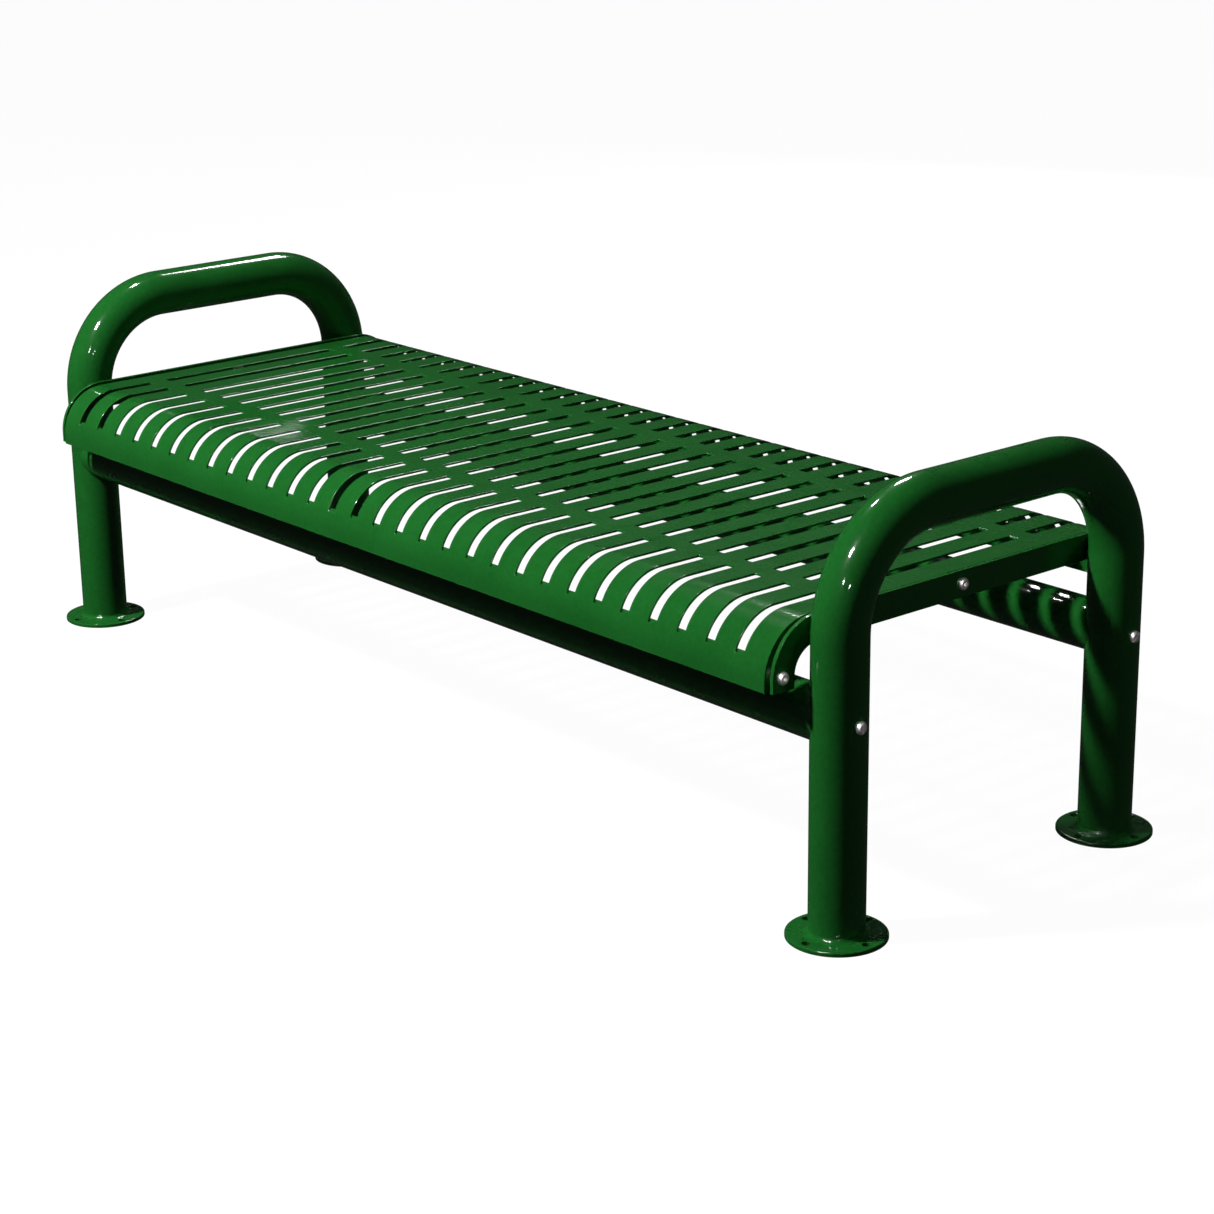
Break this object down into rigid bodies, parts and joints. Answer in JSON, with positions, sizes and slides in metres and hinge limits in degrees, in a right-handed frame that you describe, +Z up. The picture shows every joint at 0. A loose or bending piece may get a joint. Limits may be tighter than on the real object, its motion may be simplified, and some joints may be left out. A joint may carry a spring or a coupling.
{
  "type": "backless bench",
  "caption": "Backless street bench: slotted steel seat panel with rolled long edges, hung between bent-pipe end frames that stand on round base flanges.",
  "frame": {"origin": "on the floor, under the middle of the seat", "axes": "+X along the bench towards its right end, +Y from front to rear, +Z up"},
  "size_m": [1.9654, 0.7, 0.5991],
  "materials": {
    "green_powder_coat": "gloss dark green powder coat with a faint orange peel",
    "stainless_steel": "stainless steel, satin turned"
  },
  "bodies": {
    "root": {"foot_weld_beads": "green_powder_coat", "front_left_base_flange": "green_powder_coat", "front_rail": "green_powder_coat", "front_rail_left_threaded_plug": "green_powder_coat", "front_rail_right_threaded_plug": "green_powder_coat", "front_right_base_flange": "green_powder_coat", "left_end_frame_pipe": "green_powder_coat", "left_end_rib": "green_powder_coat", "left_rail_bolts": "stainless_steel", "left_seat_bolt_nuts": "stainless_steel", "left_seat_bolt_spacers": "stainless_steel", "left_seat_bolt_washers": "stainless_steel", "left_seat_bolts": "stainless_steel", "left_seat_end_flange": "green_powder_coat", "rear_left_base_flange": "green_powder_coat", "rear_rail": "green_powder_coat", "rear_rail_left_threaded_plug": "green_powder_coat", "rear_rail_right_threaded_plug": "green_powder_coat", "rear_right_base_flange": "green_powder_coat", "rib_weld_beads": "green_powder_coat", "right_end_frame_pipe": "green_powder_coat", "right_end_rib": "green_powder_coat", "right_rail_bolts": "stainless_steel", "right_seat_bolt_nuts": "stainless_steel", "right_seat_bolt_spacers": "stainless_steel", "right_seat_bolt_washers": "stainless_steel", "right_seat_bolts": "stainless_steel", "right_seat_end_flange": "green_powder_coat", "seat_panel": "green_powder_coat"}
  },
  "joints": []
}
